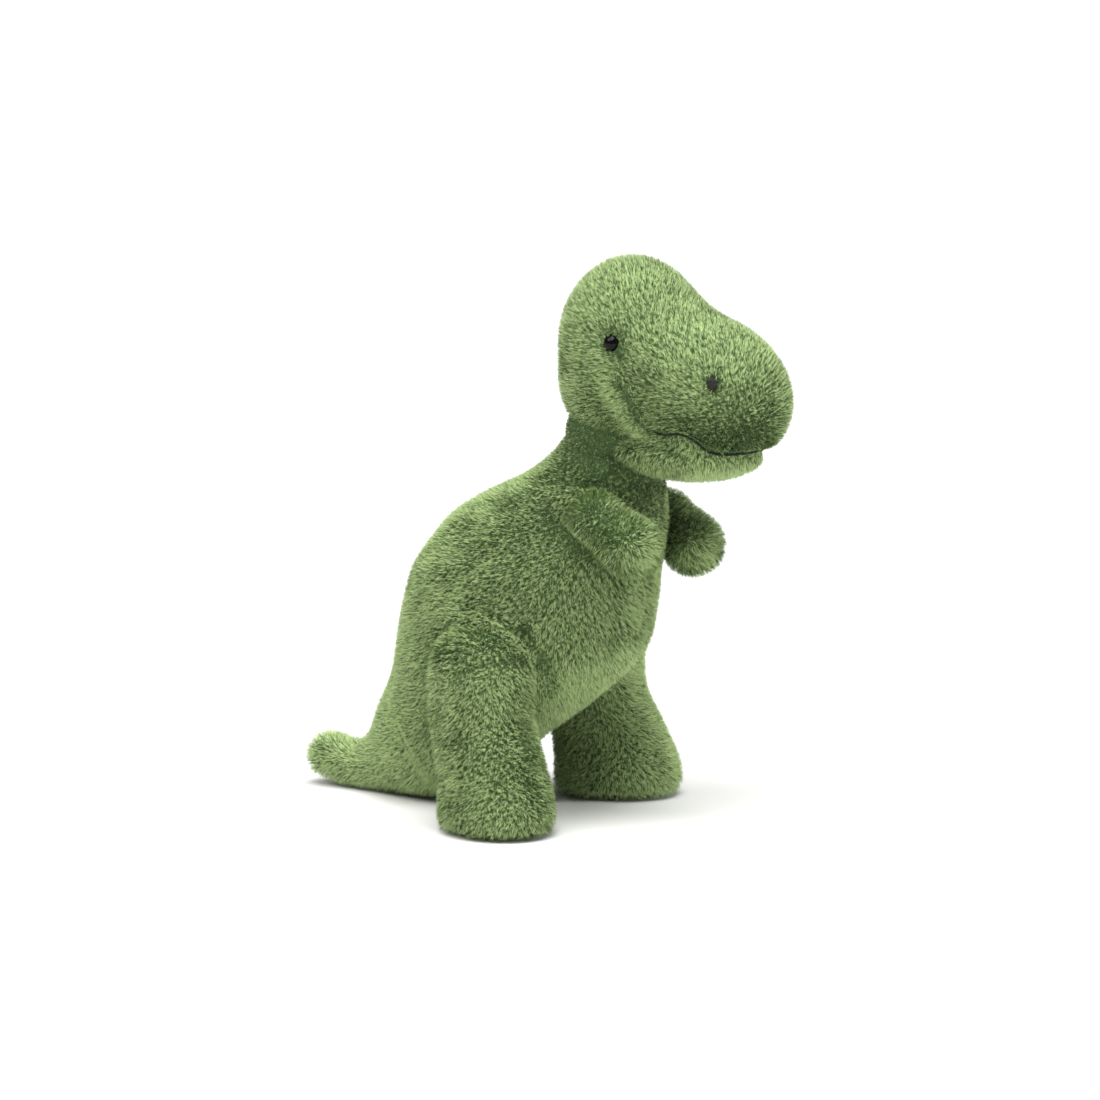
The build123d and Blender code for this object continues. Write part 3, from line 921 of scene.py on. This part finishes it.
for number, body in enumerate(FORMS):
    points, faces = surface_net(CLOSED[body], *BOXES[body], -PILE_DEPTH, SKIN_STEP)
    skin = new_mesh(f"{body}_stuffed_skin", points, faces)
    skin.data.materials.append(CLOTH)
    follow(skin, body)
    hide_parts(f"{body}_filling", *(["neck_filling"] if body == "torso" else []))
    strands, draw = grow(body, points, faces, 100 + number)
    for name, mask, node in panel_masks(body, strands["root"]):
        part = {key: value[mask] for key, value in strands.items()}
        piece = strand_mesh(f"{name}_pile", part, draw, PILE_TONES)
        follow(piece, body)
        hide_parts(node)


# ------------------------------------------------------------------ face and label
def rods(paths, radius, profile=1.0, sides=8):
    """Round rods along paths of points: vertices and quads. The profile scales the radius."""
    all_points, all_faces, first = [], [], 0
    turn = 2 * math.pi * np.arange(sides) / sides
    for path in paths:
        path = np.array(path, float)
        along = unit(np.gradient(path, axis=0))
        across = unit(np.cross(along, np.array((0.31, 0.17, 0.93))))
        above = np.cross(along, across)
        r = radius * (np.ones(len(path)) * profile)
        ring = path[:, None] + r[:, None, None] * (
            across[:, None] * np.cos(turn)[:, None] + above[:, None] * np.sin(turn)[:, None])
        count = len(path)
        all_points.append(ring.reshape(-1, 3))
        i, j = np.meshgrid(np.arange(count - 1), np.arange(sides), indexing="ij")
        k = (j + 1) % sides
        low, high = i * sides, (i + 1) * sides
        quads = np.stack((low + j, low + k, high + k, high + j), axis=-1)
        all_faces.append(quads.reshape(-1, 4) + first)
        first += count * sides
    return np.concatenate(all_points), np.concatenate(all_faces)


THREAD = principled("dark_thread", (0.016, 0.018, 0.014), 0.65, Specular_IOR_Level=0.25)
noisy(THREAD, 0.6, 2500.0, 0.0002)
EYE_BLACK = principled("eye_black", (0.002, 0.002, 0.0025), 0.07, Specular_IOR_Level=0.16)
noisy(EYE_BLACK, 0.04, 900.0, 0.00005)

# the level of the face's threads on the head's form: their centres lie under the pile's tips
THREAD_LEVEL = -2.3
STITCH = 4.0
MOUTH_THREAD, NOSTRIL_THREAD = 0.65, 0.36
NOSTRIL_HALF = (2.5, 4.0)
NOSTRIL_STITCHES = 9

whole = np.concatenate((MOUTH * np.array((-1.0, 1, 1)), MOUTH[-2::-1]))
laid = settle(head_form, whole, THREAD_LEVEL)
steps = np.concatenate(([0.0], np.cumsum(np.linalg.norm(np.diff(laid, axis=0), axis=1))))
fine = np.linspace(0, steps[-1], int(steps[-1] / 0.5))
laid = np.stack([np.interp(fine, steps, laid[:, i]) for i in range(3)], axis=1)
away_from_corner = np.minimum(fine, fine[-1] - fine) - 24.0
shown = np.clip(away_from_corner / 10.0, 0.25, 1)
stitched = shown * (0.65 + 0.35 * np.abs(np.sin(math.pi * fine / STITCH)) ** 0.5)
mouth = new_mesh("mouth_line", *rods([laid], MOUTH_THREAD, stitched))
mouth.data.materials.append(THREAD)
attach(mouth, "head")
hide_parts("mouth_thread")

for word, side in (("right", -1), ("left", 1)):
    spot = NOSTRIL * np.array((side, 1, 1))
    normal = gradient(head_form, spot[None])[0][0]
    tall = np.array((0.0, -0.3, 1.0))
    tall -= normal * (tall @ normal)
    tall /= np.linalg.norm(tall)
    wide = np.cross(normal, tall)
    threads = []
    last = NOSTRIL_HALF[0] - 0.3
    for offset in np.linspace(-last, last, NOSTRIL_STITCHES):
        reach = NOSTRIL_HALF[1] * math.sqrt(1 - (offset / NOSTRIL_HALF[0]) ** 2)
        t = np.linspace(-1, 1, 13)
        line = spot + np.outer(t * reach, tall) + offset * wide
        line = settle(head_form, line, THREAD_LEVEL)
        threads.append(line + np.outer(0.9 * (1 - t**2) - 0.5 * np.abs(t) ** 6, normal))
    nostril = new_mesh(f"nostril_{word}_stitches", *rods(threads, NOSTRIL_THREAD))
    nostril.data.materials.append(THREAD)
    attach(nostril, "head")
    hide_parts(f"nostril_{word}")
    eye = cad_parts[f"eye_{word}"]
    eye.data.materials.clear()
    eye.data.materials.append(EYE_BLACK)

LABEL = principled("label_satin", (0.80, 0.80, 0.77), 0.45, Sheen_Weight=0.2)
noisy(LABEL, 0.3, 3000.0, 0.0002)
label_low, label_high = (np.array(corner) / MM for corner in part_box("care_label"))
LABEL_WIDTH, LABEL_TALL, LABEL_THICK = 24.0, 14.0, 0.35
LABEL_WAVE, LABEL_SAG = 0.8, 1.6
columns, rows = 25, 15
u, v = np.meshgrid(np.linspace(0, 1, columns), np.linspace(0, 1, rows), indexing="ij")
edge = np.array((label_low[0], label_high[1], 0.5 * (label_low[2] + label_high[2])))
lean = math.atan2(label_high[1] - label_low[1] - LABEL_WAVE, label_high[0] - label_low[0])
x = edge[0] + LABEL_WIDTH * u * math.cos(lean)
y = edge[1] - 0.6 - LABEL_WIDTH * u * math.sin(lean) + LABEL_WAVE * np.sin(3.2 * u + 0.6 * v)
z = edge[2] + LABEL_TALL * (v - 0.5) - LABEL_SAG * u**2
front = np.stack((x, y, z), axis=-1).reshape(-1, 3)
behind = front - np.array((math.sin(lean), math.cos(lean), 0.0)) * LABEL_THICK
cell = np.arange(columns * rows).reshape(columns, rows)
sheet = np.stack((cell[:-1, :-1], cell[:-1, 1:], cell[1:, 1:], cell[1:, :-1]), axis=-1)
sheet = sheet.reshape(-1, 4)
rim = np.concatenate((cell[0, :], cell[1:, -1], cell[-1, -2::-1], cell[-2:0:-1, 0]))
after = np.roll(rim, -1)
count = columns * rows
wall = np.stack((rim, rim + count, after + count, after), axis=1)
label_faces = np.concatenate((sheet, sheet[:, ::-1] + count, wall))
label = new_mesh("blank_label", np.concatenate((front, behind)), label_faces)
label.data.materials.append(LABEL)
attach(label, "torso")
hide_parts("care_label")

BAG = principled("pellet_bag_cloth", (0.62, 0.58, 0.50), 0.85)
noisy(BAG, 0.5, 1200.0, 0.0005)
WASHER = principled("washer_plastic", (0.75, 0.75, 0.73), 0.4)
noisy(WASHER, 0.1, 600.0, 0.0002)
for name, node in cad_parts.items():
    if name.endswith("pellet_bag") or name.startswith("eye_washer"):
        node.data.materials.clear()
        node.data.materials.append(BAG if name.endswith("bag") else WASHER)

# ------------------------------------------------------------------ stage
VIEW_AZIMUTH, VIEW_ELEVATION = math.radians(-57.0), math.radians(9.5)
right = np.array((math.cos(VIEW_AZIMUTH), math.sin(VIEW_AZIMUTH), 0.0))
back = np.array((
    math.sin(VIEW_AZIMUTH) * math.cos(VIEW_ELEVATION),
    -math.cos(VIEW_AZIMUTH) * math.cos(VIEW_ELEVATION),
    math.sin(VIEW_ELEVATION),
))
up = np.cross(back, right)
FRAME_WIDTH = 0.5378
DISTANCE = 3.8
SENSOR = 36.0
AIM_RIGHT, AIM_UP = 0.0027, 0.1275
target = right * AIM_RIGHT + up * AIM_UP
camera_data = bpy.data.cameras.new("camera")
camera_data.sensor_width = SENSOR
camera_data.lens = SENSOR * DISTANCE / FRAME_WIDTH
camera = bpy.data.objects.new("camera", camera_data)
bpy.context.scene.collection.objects.link(camera)
camera.matrix_world = Matrix.Translation(Vector(target + back * DISTANCE)) @ Matrix(
    (right, up, back)).transposed().to_4x4()
bpy.context.scene.camera = camera

FLOOR_HALF = 6000.0
floor_corners = FLOOR_HALF * np.array([(-1, -1, 0), (1, -1, 0), (1, 1, 0), (-1, 1, 0)])
floor = new_mesh("floor", floor_corners, np.array([(0, 1, 2, 3)]))
floor.data.materials.append(principled("floor", (0.9, 0.9, 0.88), 0.8))


def sun(name, azimuth, elevation, strength, softness, color=(1, 1, 1)):
    """A soft far light from a direction, in degrees."""
    a, e = math.radians(azimuth), math.radians(elevation)
    data = bpy.data.lights.new(name, "SUN")
    data.energy = strength
    data.angle = math.radians(softness)
    data.color = color
    lamp = bpy.data.objects.new(name, data)
    toward = Vector((math.sin(a) * math.cos(e), -math.cos(a) * math.cos(e), math.sin(e)))
    lamp.rotation_euler = toward.to_track_quat("Z", "Y").to_euler()
    bpy.context.scene.collection.objects.link(lamp)


sun("key", -108, 46, 1.7, 40, (1.0, 0.99, 0.97))
sun("side", 20, 28, 0.9, 50)
sun("top", -40, 76, 2.8, 40)
sun("catchlight", -62, 48, 0.5, 4)
world = bpy.data.worlds.new("world")
bpy.context.scene.world = world
world.use_nodes = True
nodes, links = world.node_tree.nodes, world.node_tree.links
sky = nodes["Background"]
sky.inputs["Color"].default_value = (1.0, 1.0, 0.99, 1)
seen = nodes.new("ShaderNodeLightPath")
strength = nodes.new("ShaderNodeMapRange")
strength.inputs["To Min"].default_value = 0.2
strength.inputs["To Max"].default_value = 1.0
links.new(seen.outputs["Is Camera Ray"], strength.inputs["Value"])
links.new(strength.outputs["Result"], sky.inputs["Strength"])
bpy.context.scene.view_settings.view_transform = "Standard"
